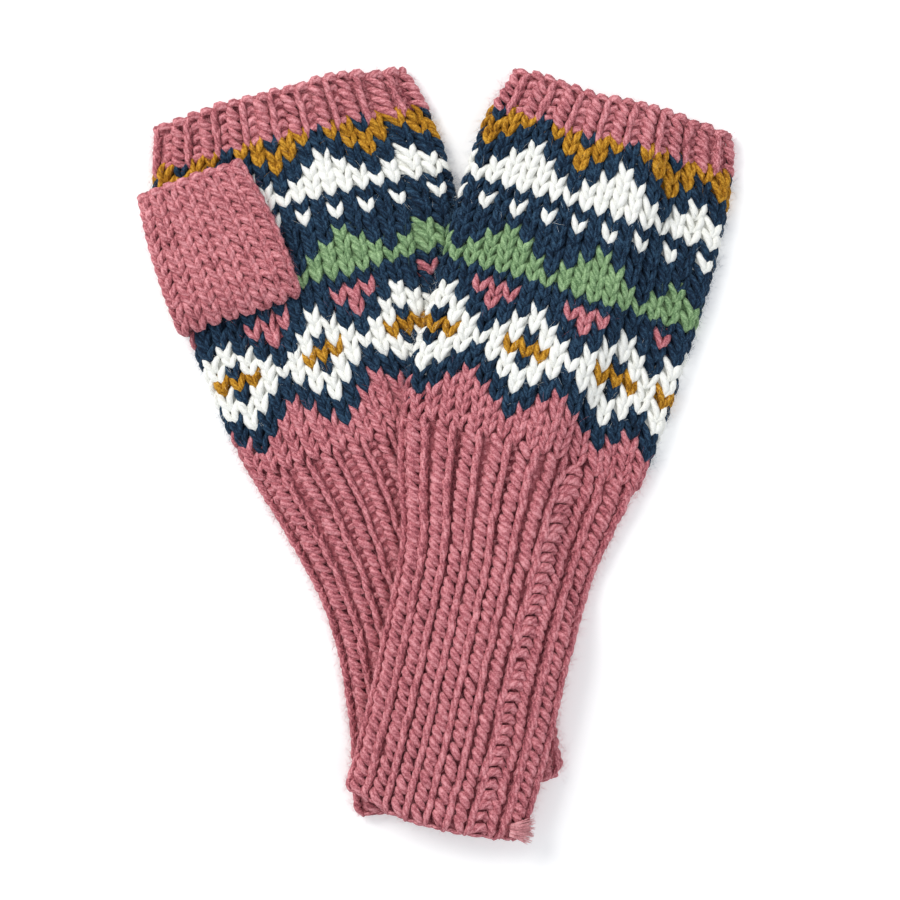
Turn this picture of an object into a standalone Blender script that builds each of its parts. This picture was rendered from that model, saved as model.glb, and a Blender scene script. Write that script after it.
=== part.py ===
"""A pair of knitted fingerless wrist warmers, laid out flat.

The left-hand warmer lies palm up, with its thumb tube turned up over the palm.
The right-hand one lies back up across the left one's ribbed cuff, with its own
thumb tube folded away beneath it. Each warmer is four knitted tubes: a ribbed
top band, a colourwork hand, a thumb and a long ribbed cuff.

Sizes are in millimetres and become metres as each mesh is made. X runs to the
right of the layout, Y away from the cuffs, Z up from the surface they lie on.
"""

import bpy
import numpy as np

for obj in list(bpy.data.objects):
    bpy.data.objects.remove(obj, do_unlink=True)

MM = 0.001

# One round has 34 stitches, so 17 ribs of one knit and one purl.
STITCHES = 34
RIBS = STITCHES // 2

# Rows, as lengths down the warmer from its top edge.
ROW = 4.5
BAND = 17.0
HAND = 24 * ROW
SEAM_GAP = 0.3

# A laid tube is two walls with a slit of air between them.
WALL = 3.0
SLIT = 0.8
LAID = 2 * WALL + SLIT
# Each open end stands up a little; the left cuff's is pressed shut.
MOUTH_REACH = 7.0
# Ribs stand this far proud of their troughs, half of it each side of the wall's face.
RIB_RELIEF = 1.2

# Where the two lie on each other, the right one is this far off the surface.
LIFT = LAID + RIB_RELIEF / 2 + SEAM_GAP + 0.2
OVERHANG = 9.0
DRAPE = 18.0

# The middle of the layout, so that the pair stands centred on the origin.
CENTRE = (0.1, 0.0)


# ---- the laid outlines -------------------------------------------------------

# down: length from the top edge. mid_x, mid_y: middle of the tube there.
# width: from fold to fold. tilt: degrees the rows climb to the right.
# bow: how far the middle of a row stands above the line through its ends.
COLUMNS = ("down", "mid_x", "mid_y", "width", "tilt", "bow")
LEFT_OUTLINE = dict(
    zip(
        COLUMNS,
        np.transpose(
            [
                (0, -59.3, 134.2, 95.8, 13.3, 2.2),
                (17, -55.1, 117.4, 105.6, 13.5, 2.0),
                (48, -48.5, 90.2, 111.5, 12.8, 1.0),
                (88, -39.9, 52.3, 104.5, 17.8, 0.5),
                (125, -28.6, 13.0, 94.0, 19.5, 0.0),
                (160, -15.8, -19.5, 83.0, 17.5, -0.5),
                (195, -6.2, -53.2, 70.5, 15.3, -1.0),
                (230, 3.2, -86.9, 75.0, 13.0, -1.5),
                (272, 9.0, -129.0, 80.5, 11.6, -2.0),
            ]
        ),
    )
)
RIGHT_OUTLINE = dict(
    zip(
        COLUMNS,
        np.transpose(
            [
                (0, 70.1, 132.6, 84.4, -16.7, 1.8),
                (17, 65.7, 116.9, 94.1, -16.0, 1.0),
                (40, 59.4, 94.0, 98.9, -16.3, 0.3),
                (85, 47.0, 50.2, 98.0, -16.8, 0.8),
                (125, 33.5, 8.2, 95.7, -18.8, 3.2),
                (150, 27.0, -14.0, 85.1, -17.5, 1.5),
                (180, 22.3, -40.5, 72.2, -16.3, -1.0),
                (210, 15.6, -69.8, 69.2, -16.3, -1.5),
                (245, 7.8, -103.9, 69.0, -16.0, -2.5),
                (278, -1.0, -136.6, 68.0, -14.6, -3.6),
            ]
        ),
    )
)
# How much the top and bottom mouths stand open beyond the slit of air.
LEFT_OUTLINE["mouths"] = (1.4, 0.0)
RIGHT_OUTLINE["mouths"] = (1.4, 1.4)


def smooth(at, knots, values):
    """A cubic through the table's rows, with the slope at each row taken from its neighbours."""
    slopes = np.gradient(values, knots)
    i = np.clip(np.searchsorted(knots, at) - 1, 0, len(knots) - 2)
    step = knots[i + 1] - knots[i]
    u = (at - knots[i]) / step
    return (
        (2 * u**3 - 3 * u**2 + 1) * values[i]
        + (u**3 - 2 * u**2 + u) * step * slopes[i]
        + (3 * u**2 - 2 * u**3) * values[i + 1]
        + (u**3 - u**2) * step * slopes[i + 1]
    )


def lay_out(outline, down, across):
    """Plan position of a point `down` the tube and `across` its row, in mm from the row's middle.

    The row is a straight line at its tilt, bowed up by a parabola that is zero at both folds.
    """
    down, across = np.broadcast_arrays(down, across)
    mid_x, mid_y, width, tilt, bow = (
        smooth(down, outline["down"], outline[name]) for name in COLUMNS[1:]
    )
    tilt = np.radians(tilt)
    rise = bow * (1 - (2 * across / width) ** 2)
    x = mid_x + across * np.cos(tilt) - rise * np.sin(tilt)
    y = mid_y + across * np.sin(tilt) + rise * np.cos(tilt)
    return x - CENTRE[0], y - CENTRE[1]


def width_at(outline, down):
    return smooth(down, outline["down"], outline["width"])


# ---- the cross-section of a laid tube ----------------------------------------


def racetrack(width, height, turn):
    """Points of a flattened ring: two straight runs joined by half circles.

    turn goes once round as 0 to 1, from the left fold over the top to the right
    fold and back underneath. Gives x from the middle, z from the underside, and
    the outward direction (nx, nz).
    """
    turn = np.mod(turn, 1.0)
    radius = height / 2
    straight = width - height
    bend = np.pi * radius
    along = np.mod(turn * 2 * (straight + bend) + bend / 2, 2 * (straight + bend))
    # The four runs, in order: left fold, top, right fold, underside.
    angle = np.select(
        [
            along < bend,
            along < bend + straight,
            along < 2 * bend + straight,
        ],
        [
            -np.pi / 2 - along / radius,
            np.pi / 2 + 0 * along,
            np.pi / 2 - (along - bend - straight) / radius,
        ],
        -np.pi / 2,
    )
    middle = np.select(
        [
            along < bend,
            along < bend + straight,
            along < 2 * bend + straight,
        ],
        [
            -straight / 2 + 0 * along,
            -straight / 2 + along - bend,
            straight / 2 + 0 * along,
        ],
        straight / 2 - (along - 2 * bend - straight),
    )
    nx, nz = np.cos(angle), np.sin(angle)
    return middle + radius * nx, radius + radius * nz, nx, nz


def mouth(outline, down):
    """How much a tube's open ends stand up off the surface, fading with distance from each end."""
    length = outline["down"][-1]
    top, bottom = outline["mouths"]
    return top * np.exp(-((down / MOUTH_REACH) ** 2)) + bottom * np.exp(
        -(((length - down) / MOUTH_REACH) ** 2)
    )


def tube_rings(outline, downs, turns, inset, relief=None):
    """Rings of points (len(downs), len(turns), 3) round a tube, inset from its outer face.

    relief(down, turn) raises the outer face along its own outward direction.
    """
    down, turn = np.meshgrid(downs, turns, indexing="ij")
    width = width_at(outline, down)
    height = LAID + mouth(outline, down)
    across, z, nx, nz = racetrack(width - 2 * inset, height - 2 * inset, turn)
    z = z + inset
    if relief is not None:
        # The underside rests flat, so the relief dies away round the fold.
        raised = relief(down, turn) * np.clip(nz + 1, 0, 1)
        across, z = across + raised * nx, z + raised * nz
    x, y = lay_out(outline, down, across)
    return np.stack([x, y, z], axis=-1)


# ---- how the right warmer drapes over what lies beneath it --------------------


def footprint(outline, first, last, steps=40):
    """Plan polygon of a tube between two lengths down it."""
    downs = np.linspace(first, last, steps)
    half = width_at(outline, downs) / 2
    left = np.stack(lay_out(outline, downs, -half), axis=-1)
    right = np.stack(lay_out(outline, downs, half), axis=-1)
    return np.concatenate([left, right[::-1]])


def distance_outside(x, y, polygon):
    """Distance from each plan point to a polygon, zero inside it."""
    start = polygon
    edge = np.roll(polygon, -1, axis=0) - start
    dx, dy = x[..., None] - start[:, 0], y[..., None] - start[:, 1]
    t = np.clip((dx * edge[:, 0] + dy * edge[:, 1]) / (edge**2).sum(axis=1), 0, 1)
    nearest = np.hypot(dx - t * edge[:, 0], dy - t * edge[:, 1]).min(axis=-1)
    end_y = start[:, 1] + edge[:, 1]
    straddles = (start[:, 1] > y[..., None]) != (end_y > y[..., None])
    level = np.where(edge[:, 1] == 0, 1e-9, edge[:, 1])
    crosses = dx < edge[:, 0] * dy / level
    inside = (straddles & crosses).sum(axis=-1) % 2 == 1
    return np.where(inside, 0.0, nearest)


def drape(points, beneath):
    """Lifts points by LIFT over the footprints beneath and OVERHANG beyond, easing down to nothing over DRAPE."""
    away = np.min(
        [distance_outside(points[..., 0], points[..., 1], p) for p in beneath], axis=0
    )
    run = np.clip((away - OVERHANG) / DRAPE, 0, 1)
    lifted = points.copy()
    lifted[..., 2] += LIFT * (1 + np.cos(np.pi * run)) / 2
    return lifted


# ---- meshes ------------------------------------------------------------------


def make_object(name, points, faces, colour):
    """One closed piece from points in mm, in its own plain material."""
    mesh = bpy.data.meshes.new(name)
    mesh.from_pydata((np.asarray(points) * MM).tolist(), [], faces)
    mesh.validate()
    mesh.update()
    material = bpy.data.materials.new(name)
    material.diffuse_color = (*colour, 1)
    material.use_nodes = True
    shader = material.node_tree.nodes["Principled BSDF"]
    shader.inputs["Base Color"].default_value = (*colour, 1)
    shader.inputs["Roughness"].default_value = 0.9
    mesh.materials.append(material)
    piece = bpy.data.objects.new(name, mesh)
    bpy.context.scene.collection.objects.link(piece)
    return piece


def zip_loops(first, first_turns, second, second_turns):
    """Triangles between two closed loops of different counts, stepping whichever lags in turn."""
    faces = []
    i = j = 0
    n, m = len(first), len(second)
    while i < n or j < m:
        next_i = first_turns[i + 1] if i + 1 < n else first_turns[0] + 1
        next_j = second_turns[j + 1] if j + 1 < m else second_turns[0] + 1
        if j >= m or (i < n and next_i <= next_j):
            faces.append((first[i], first[(i + 1) % n], second[j % m]))
            i += 1
        else:
            faces.append((first[i % n], second[(j + 1) % m], second[j]))
            j += 1
    return faces


def loft(outer, inner, outer_turns, inner_turns):
    """Points and faces of an open tube with a wall: outer rings, inner rings and two rims."""
    rings, n = outer.shape[:2]
    m = inner.shape[1]
    points = np.concatenate([outer.reshape(-1, 3), inner.reshape(-1, 3)])
    out = np.arange(rings * n).reshape(rings, n)
    into = rings * n + np.arange(rings * m).reshape(rings, m)
    faces = []
    for k in range(rings - 1):
        for i in range(n):
            j = (i + 1) % n
            faces.append((out[k, i], out[k + 1, i], out[k + 1, j], out[k, j]))
        for i in range(m):
            j = (i + 1) % m
            faces.append((into[k, i], into[k, j], into[k + 1, j], into[k + 1, i]))
    faces += zip_loops(list(out[0]), outer_turns, list(into[0]), inner_turns)
    faces += [
        f[::-1]
        for f in zip_loops(list(out[-1]), outer_turns, list(into[-1]), inner_turns)
    ]
    return points, [tuple(int(v) for v in f) for f in faces]


# ---- ribbed pieces: the top band and the cuff --------------------------------

# One rib, as fractions of its pitch and how high the cloth stands there: the
# plump knit stitch takes three quarters of it, the sunken purl the rest.
RIB_STEPS = (0.0, 0.12, 0.3, 0.5, 0.66, 0.78)
RIB_HEIGHTS = (0.0, 0.7, 1.0, 1.0, 0.7, 0.0)


def rib_turns():
    """Turns of the outer points: every step of each rib on top, two a rib underneath."""
    turns = []
    for rib in range(RIBS):
        steps = RIB_STEPS if (rib + 0.5) / RIBS < 0.53 else (0.0, 0.5)
        turns += [(rib + step) / RIBS for step in steps]
    return np.array(turns)


def rib_relief(first, last, fade_in):
    """Rib height between two lengths down the tube, growing over fade_in from the first."""

    def relief(down, turn):
        height = np.interp(
            np.mod(turn * RIBS, 1.0), RIB_STEPS + (1.0,), RIB_HEIGHTS + (0.0,)
        )
        grown = np.clip((down - first) / fade_in, 0, 1)
        return RIB_RELIEF * (height - 0.5) * grown

    return relief


def ribbed_tube(name, outline, first, last, rings, fade_in, colour, beneath=None):
    downs = np.linspace(first, last, rings)
    outer_turns = rib_turns()
    inner_turns = np.arange(STITCHES) / STITCHES
    relief = rib_relief(first, last, fade_in)
    outer = tube_rings(outline, downs, outer_turns, 0, relief)
    inner = tube_rings(outline, downs, inner_turns, WALL)
    if beneath is not None:
        outer, inner = drape(outer, beneath), drape(inner, beneath)
    points, faces = loft(outer, inner, outer_turns, inner_turns)
    return make_object(name, points, faces, colour)


# ---- the colourwork hand, with its thumb slot --------------------------------

# The hand's points round: four steps round each fold, even steps between.
FOLD_TURN = 0.026
HAND_ACROSS = 15
SLOT_DOWN = (BAND + 12.4 * ROW, BAND + 14 * ROW)
SEAM_TURN = 0.42
SEAM_WIDTH = 0.02
SEAM_DEPTH = 0.9


def hand_turns():
    fold = [0.0, FOLD_TURN / 2]
    top = list(np.linspace(FOLD_TURN, 0.5 - FOLD_TURN, HAND_ACROSS + 1))
    half = fold + top + [0.5 - FOLD_TURN / 2]
    return np.array(half + [turn + 0.5 for turn in half])


def slot_across(outline, slot_columns):
    """Where the slit starts and ends across the row, in mm from the row's middle."""
    turns = hand_turns()[list(slot_columns)]
    ends, _, _, _ = racetrack(width_at(outline, SLOT_DOWN[0]), LAID, turns)
    return sorted(float(end) for end in ends)


def seam_relief(down, turn):
    """The soft trough where each round of knitting starts and ends, a bell-shaped dip in the top wall."""
    return -SEAM_DEPTH * np.exp(-(((turn - SEAM_TURN) / SEAM_WIDTH) ** 2))


def hand_tube(name, outline, slot_columns, colour, beneath=None):
    """The hand with a slit in one wall: the cells between two rings and two columns are left out."""
    above = np.linspace(BAND + SEAM_GAP, SLOT_DOWN[0], 7)
    below = np.linspace(SLOT_DOWN[1], BAND + HAND, 6)
    downs = np.concatenate([above, below])
    slot_ring = len(above) - 1
    turns = hand_turns()
    outer = tube_rings(outline, downs, turns, 0, seam_relief)
    inner = tube_rings(outline, downs, turns, WALL)
    if beneath is not None:
        outer, inner = drape(outer, beneath), drape(inner, beneath)
    points, faces = loft(outer, inner, turns, turns)

    # Leave out the slit's cells in both faces of the wall, then line its rim.
    n = len(turns)
    skin = len(downs) * n

    def cell(k, i, side):
        corners = (k * n + i, (k + 1) * n + i, (k + 1) * n + i + 1, k * n + i + 1)
        return frozenset(side * skin + c for c in corners)

    first, last = slot_columns
    cut = {cell(slot_ring, i, side) for i in range(first, last) for side in (0, 1)}
    faces = [f for f in faces if frozenset(f) not in cut]
    upper, lower = slot_ring * n, (slot_ring + 1) * n
    rim = [upper + i for i in range(first, last + 1)]
    rim += [lower + i for i in range(last, first - 1, -1)]
    for a, b in zip(rim, rim[1:] + rim[:1]):
        faces.append((b, a, a + skin, b + skin))
    return make_object(name, points, faces, colour)


# ---- the thumb: a short tube that stands on the slit and lies back over the hand

THUMB_ROUND = 32
THUMB_LAY = 6


def thumb_tube(base, tip, widths, tilts, floor_z, side, height, falls_away):
    """A plain tube whose rings swing from lying flat on the slit to standing across the thumb.

    base and tip are the middles of its back edge in plan; widths and tilts are
    the tube's there. side is 1 to lie above floor_z, -1 to hang below it, and
    height is how thick the tube lies.
    falls_away(x, y) is how far the cloth it stands on drops from floor_z.
    """
    base, tip = np.array(base), np.array(tip)
    length = np.hypot(*(tip - base))
    slit = SLOT_DOWN[1] - SLOT_DOWN[0]
    # Each ring: how far up the thumb its back edge is, and its angle from flat.
    swing = [(0.0, 0.0), (0.7, 18.0), (1.5, 38.0), (2.5, 60.0), (4.0, 80.0)]
    lay = [(at, 90.0) for at in np.linspace(7.0, length, THUMB_LAY)]
    turns = np.arange(THUMB_ROUND) / THUMB_ROUND
    outer, inner = [], []
    for up, angle in swing + lay:
        share = up / length
        width = widths[0] + (widths[1] - widths[0]) * share
        tilt = np.radians(tilts[0] + (tilts[1] - tilts[0]) * share)
        angle = np.radians(angle)
        flat_depth = slit + 2 * WALL
        depth = height + (flat_depth - height) * np.cos(angle) ** 4
        middle = base + (tip - base) * share
        for rings, inset in ((outer, 0.0), (inner, WALL)):
            x, r, _, _ = racetrack(width - 2 * inset, depth - 2 * inset, turns)
            r = r + inset
            # r runs from the thumb's back wall to its front wall.
            back = r * np.cos(angle)
            px = middle[0] + x * np.cos(tilt) + back * np.sin(tilt)
            py = middle[1] + x * np.sin(tilt) - back * np.cos(tilt)
            pz = floor_z + side * (SEAM_GAP + r * np.sin(angle))
            pz = pz - falls_away(px, py) * np.cos(angle) ** 4
            rings.append(np.stack([px, py, pz], axis=-1))
    outer, inner = np.array(outer), np.array(inner)
    if side > 0:
        # Standing up, the rings run from the slit to the tip the other way round.
        outer, inner = outer[::-1], inner[::-1]
    points, faces = loft(outer, inner, turns, turns)
    return outer, points, faces


def no_fall(x, y):
    return 0 * x


PINK = (0.53, 0.18, 0.20)
NAVY = (0.02, 0.045, 0.09)
THUMB_PINK = (0.60, 0.22, 0.25)

# ---- the left warmer ---------------------------------------------------------

LEFT_LENGTH = LEFT_OUTLINE["down"][-1]
ribbed_tube("left_band", LEFT_OUTLINE, 0, BAND, 4, 4.0, PINK)
LEFT_SLOT = (2, 8)
hand_tube("left_hand", LEFT_OUTLINE, LEFT_SLOT, NAVY)
ribbed_tube(
    "left_cuff", LEFT_OUTLINE, BAND + HAND + SEAM_GAP, LEFT_LENGTH, 14, 14.0, PINK
)


def thumb_base(outline, slot_columns):
    """Plan middle of the thumb's back edge, one wall above the slit's upper lip, and its width there."""
    start, end = slot_across(outline, slot_columns)
    x, y = lay_out(outline, SLOT_DOWN[0] - WALL, (start + end) / 2)
    return (float(x), float(y)), end - start + 2 * WALL


def left_fall(x, y):
    """The palm's top face rounds down at the left fold, and the thumb's foot follows it."""
    downs = np.linspace(BAND + 8 * ROW, BAND + 18 * ROW, 60)
    fold_x, fold_y = lay_out(LEFT_OUTLINE, downs, -width_at(LEFT_OUTLINE, downs) / 2)
    nearest = np.abs(fold_y - y[:, None]).argmin(axis=1)
    radius = LAID / 2
    inward = np.clip((x - fold_x[nearest]) * np.cos(np.radians(20)), 0.8, radius)
    return radius - np.sqrt(radius**2 - (radius - inward) ** 2)


LEFT_TIP = (-91.8 - CENTRE[0], 101.4 - CENTRE[1])
LEFT_TIP_WIDTH = 41.0
left_base, left_width = thumb_base(LEFT_OUTLINE, LEFT_SLOT)
_, points, faces = thumb_tube(
    left_base,
    LEFT_TIP,
    (left_width, LEFT_TIP_WIDTH),
    (20.0, 17.5),
    LAID,
    1,
    LAID,
    left_fall,
)
make_object("left_thumb", points, faces, THUMB_PINK)

# ---- the right warmer, over the left one's cuff and its own folded thumb ------

RIGHT_LENGTH = RIGHT_OUTLINE["down"][-1]
RIGHT_TILT = -16.3
THUMB_LENGTH = 50.0
# The underside's columns are counted on round the right fold, back to the left.
RIGHT_SLOT = (hand_turns().size - 10, hand_turns().size - 4)
right_base, right_width = thumb_base(RIGHT_OUTLINE, RIGHT_SLOT)
right_tip = (
    right_base[0] - THUMB_LENGTH * np.sin(np.radians(RIGHT_TILT)),
    right_base[1] + THUMB_LENGTH * np.cos(np.radians(RIGHT_TILT)),
)
outer, points, faces = thumb_tube(
    right_base,
    right_tip,
    (right_width, right_width - 3),
    (RIGHT_TILT, RIGHT_TILT),
    LIFT,
    -1,
    LIFT - SEAM_GAP,
    no_fall,
)
make_object("right_thumb", points, faces, THUMB_PINK)

# From the thumb's foot the cloth bridges across to the left cuff's right fold.
BRIDGE_DOWN = np.array([165.0, 190.0])
bridge = lay_out(LEFT_OUTLINE, BRIDGE_DOWN, width_at(LEFT_OUTLINE, BRIDGE_DOWN) / 2 - 5)
left_edge = outer[:, 0, :2]
right_edge = outer[::-1, THUMB_ROUND // 2, :2]
beneath = [
    footprint(LEFT_OUTLINE, 0, LEFT_LENGTH),
    np.concatenate([left_edge, right_edge, np.stack(bridge, axis=-1)]),
]
ribbed_tube("right_band", RIGHT_OUTLINE, 0, BAND, 4, 4.0, PINK, beneath)
hand_tube("right_hand", RIGHT_OUTLINE, RIGHT_SLOT, NAVY, beneath)
ribbed_tube(
    "right_cuff",
    RIGHT_OUTLINE,
    BAND + HAND + SEAM_GAP,
    RIGHT_LENGTH,
    14,
    14.0,
    PINK,
    beneath,
)
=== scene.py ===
"""A pair of knitted fingerless wrist warmers, laid out flat and crossed at the cuffs.

Every stitch is a short length of yarn on the tube that carries it. Lengths in
the script are millimetres; they become metres as each mesh is made.
"""

import collections
import functools

import bpy
import numpy as np
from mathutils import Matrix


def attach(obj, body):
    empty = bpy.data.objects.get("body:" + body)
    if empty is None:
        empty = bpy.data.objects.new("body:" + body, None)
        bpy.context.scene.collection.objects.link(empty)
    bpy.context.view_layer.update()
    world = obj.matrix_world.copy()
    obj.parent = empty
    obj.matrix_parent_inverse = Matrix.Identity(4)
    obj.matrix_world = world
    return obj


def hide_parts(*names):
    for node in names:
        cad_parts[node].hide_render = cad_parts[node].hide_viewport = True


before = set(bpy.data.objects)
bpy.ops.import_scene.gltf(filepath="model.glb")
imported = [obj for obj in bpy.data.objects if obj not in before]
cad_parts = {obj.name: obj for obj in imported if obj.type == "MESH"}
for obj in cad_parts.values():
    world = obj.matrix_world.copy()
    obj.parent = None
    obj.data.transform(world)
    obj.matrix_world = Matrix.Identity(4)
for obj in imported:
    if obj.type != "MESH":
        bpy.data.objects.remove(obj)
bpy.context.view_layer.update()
scene = bpy.context.scene


def fill(node, values):
    """Sets a shader node's inputs by name."""
    for name, value in values.items():
        node.inputs[name].default_value = value


def add_object(name, data):
    """Puts a camera, light or mesh into the scene as an object."""
    made = bpy.data.objects.new(name, data)
    scene.collection.objects.link(made)
    return made


# ---- The view from straight above, and the light ----
# The pair lies on a white surface and is seen from over its middle, in broad
# soft light that comes mostly from the upper left.

MM = 0.001
CAMERA_HEIGHT = 1.25
SENSOR = 36.0
SEEN_WIDTH = 0.3375
SEEN_MIDDLE = (0.00496, 0.0015)
LAID_TOP = 0.010
FLOOR_REACH = 1.5

camera = bpy.data.cameras.new("camera")
camera.sensor_width = SENSOR
camera.lens = SENSOR * (CAMERA_HEIGHT - LAID_TOP) / SEEN_WIDTH
camera.clip_end = 10.0
scene.camera = add_object("camera", camera)
scene.camera.location = (*SEEN_MIDDLE, CAMERA_HEIGHT)
scene.view_settings.view_transform = "Standard"

world = bpy.data.worlds.new("studio")
scene.world = world
world.use_nodes = True
fill(world.node_tree.nodes["Background"], {"Color": (0.93, 0.96, 1, 1), "Strength": 0.62})


def soft_light(name, place, size, power, colour):
    """A square area light that faces the middle of the layout."""
    data = bpy.data.lights.new(name, "AREA")
    data.shape = "SQUARE"
    data.size = size
    data.energy = power
    data.color = colour
    lamp = add_object(name, data)
    lamp.location = place
    aim = -np.array(place) / np.linalg.norm(place)
    lamp.rotation_euler = (np.arccos(-aim[2]), 0.0, np.arctan2(aim[1], aim[0]) - np.pi / 2)


soft_light("key", (-0.9, 0.8, 1.1), 0.8, 17.0, (1.0, 0.98, 0.95))
soft_light("fill", (0.9, -0.5, 1.3), 1.2, 5.0, (0.95, 0.97, 1.0))

floor_mesh = bpy.data.meshes.new("floor")
floor_corners = [(x * FLOOR_REACH, y * FLOOR_REACH, 0) for x, y in ((-1, -1), (1, -1), (1, 1), (-1, 1))]
floor_mesh.from_pydata(floor_corners, [], [(0, 1, 2, 3)])
floor_paint = bpy.data.materials.new("white surface")
floor_paint.use_nodes = True
paint = floor_paint.node_tree.nodes["Principled BSDF"]
fill(paint, {"Base Color": (0.9, 0.9, 0.9, 1), "Roughness": 0.85})
fill(paint, {"Emission Color": (1, 1, 1, 1), "Emission Strength": 0.22})
floor_mesh.materials.append(floor_paint)
add_object("floor", floor_mesh)

# ---- The two laid tubes ----
# Each warmer is one knitted tube, narrow at the wrist and wide over the hand,
# pressed flat by its own weight. 34 stitches go once round it.

STITCHES = 34
ROW = 4.5
BAND = 17.0
HAND = 24 * ROW
PALM_GAP = 0.3
WALL = 3.0
SLIT = 0.8
LAID = 2 * WALL + SLIT
CENTRE = (0.1, 0.0)

# A mouth stands open over its last few mm, and the cast-on edge draws in at its corners.
MOUTH_REACH = 7.0
ROUNDED = 3.4
ROUNDED_REACH = 3.0
OVERRUN = 2.0
SMALLEST_RADIUS = 0.1

# The upper warmer lies over the lower one's ribs. It keeps that height a little
# way past them and then eases down.
RIB_RELIEF = 1.2
CROSSING_GAP = 0.2
LIFT = LAID + RIB_RELIEF / 2 + PALM_GAP + CROSSING_GAP
OVERHANG = 9.0
DRAPE = 18.0

# down: length from the top edge. mid_x, mid_y: middle of the tube there.
# width: fold to fold. tilt: degrees the rows climb. bow: how far they arch.
OUTLINE_COLUMNS = ("down", "mid_x", "mid_y", "width", "tilt", "bow")


def outline(*rows):
    """A tube's outline: its table's columns by name."""
    return dict(zip(OUTLINE_COLUMNS, np.transpose(rows)))


def spacing(*rows):
    """A table of columns and places, repeated one round before and one round after."""
    columns, places = np.transpose(rows)
    return (
        np.concatenate([columns[:-1] - STITCHES, columns, columns[1:] + STITCHES]),
        np.concatenate([places[:-1] - 1, places, places[1:] + 1]),
    )


LEFT = outline(
    (0, -59.3, 134.2, 95.8, 13.3, 2.2),
    (17, -55.1, 117.4, 105.6, 13.5, 2.0),
    (48, -48.5, 90.2, 111.5, 12.8, 1.0),
    (88, -39.9, 52.3, 104.5, 17.8, 0.5),
    (125, -28.6, 13.0, 94.0, 19.5, 0.0),
    (160, -15.8, -19.5, 83.0, 17.5, -0.5),
    (195, -6.2, -53.2, 70.5, 15.3, -1.0),
    (230, 3.2, -86.9, 75.0, 13.0, -1.5),
    (272, 9.0, -129.0, 80.5, 11.6, -2.0),
)
RIGHT = outline(
    (0, 70.1, 132.6, 84.4, -16.7, 1.8),
    (17, 65.7, 116.9, 94.1, -16.0, 1.0),
    (40, 59.4, 94.0, 98.9, -16.3, 0.3),
    (85, 47.0, 50.2, 98.0, -16.8, 0.8),
    (125, 33.5, 8.2, 95.7, -18.8, 3.2),
    (150, 27.0, -14.0, 85.1, -17.5, 1.5),
    (180, 22.3, -40.5, 72.2, -16.3, -1.0),
    (210, 15.6, -69.8, 69.2, -16.3, -1.5),
    (245, 7.8, -103.9, 69.0, -16.0, -2.5),
    (278, -1.0, -136.6, 68.0, -14.6, -3.6),
)
# mouths: how far the top and the bottom mouth stand open.
LEFT["mouths"] = (1.4, 0.0)
RIGHT["mouths"] = (1.4, 1.4)

# Where the stitch columns lie round each tube: the column's middle, then its
# place as a share of the way round from the left fold, over the top. The
# columns crowd where a round ends.
# first: the column with the gold point.
# drawn_in: where the hand's spacing starts to pass into the cuff's, from the
# hand's end, and over what length.
# lean, rib_lean: how far a hand's stitch and a rib's left leg lean to the right
# for each mm up. leaf, cord: how thick a rib's left and right legs are.
# purl_sink: how deep the purls lie between the ribs.
LEFT["hand_columns"] = spacing(
    (1.5, 0.0564), (13.5, 0.377), (14.5, 0.4045), (15.5, 0.441), (17.5, 0.5005), (35.5, 1.0564)
)
LEFT["cuff_columns"] = spacing((1.5, 0.05), (35.5, 1.05))
LEFT.update(first=1, drawn_in=(-35.0, 55.0), lean=0.0, rib_lean=0.20, leaf=0.92, cord=0.76, purl_sink=0.4)
RIGHT["hand_columns"] = spacing(
    (0.5, 0.0252), (12.5, 0.380), (13.5, 0.412), (14.5, 0.442), (15.5, 0.479), (34.5, 1.0252)
)
RIGHT["cuff_columns"] = spacing(
    (0.5, 0.0418), (10.5, 0.3217), (11.5, 0.374), (12.5, 0.425), (14.5, 0.473), (34.5, 1.0418)
)
RIGHT.update(first=0, drawn_in=(-12.0, 34.0), lean=-0.08, rib_lean=-0.08, leaf=1.0, cord=0.96, purl_sink=0.9)

TUBES = (("left", LEFT), ("right", RIGHT))

# Where the cloth has been tugged as it lay: the middle of the tug, its push in
# x and y, and the radius that it fades over.
LEFT["tugs"] = (
    (-61.5, 44.4, 2.7, -3.8, 13.0),
    (-80.0, 45.5, 0.0, -4.2, 10.0),
    (-64.0, 51.0, 0.3, -1.8, 8.0),
    (-30.4, 56.6, 1.5, -2.0, 10.0),
    (-8.0, 28.0, 1.2, 1.6, 12.0),
    (-39.9, 141.0, 0.0, 2.2, 15.0),
    (-73.7, 131.0, 0.0, 1.3, 16.0),
)
RIGHT["tugs"] = (
    (54.0, 117.6, 0.0, -2.0, 10.0),
    (60.0, 60.0, 0.0, -1.2, 9.0),
    (-31.5, -135.0, -1.4, 4.4, 9.5),
    (59.4, 135.8, 0.0, -2.2, 11.0),
)


def smooth(at, knots, values):
    """A cubic through the table's rows, its slope at each row taken from the row's neighbours."""
    slopes = np.gradient(values, knots)
    i = np.clip(np.searchsorted(knots, at) - 1, 0, len(knots) - 2)
    step = knots[i + 1] - knots[i]
    u = (at - knots[i]) / step
    return (
        (2 * u**3 - 3 * u**2 + 1) * values[i]
        + (u**3 - 2 * u**2 + u) * step * slopes[i]
        + (3 * u**2 - 2 * u**3) * values[i + 1]
        + (u**3 - u**2) * step * slopes[i + 1]
    )


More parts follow.
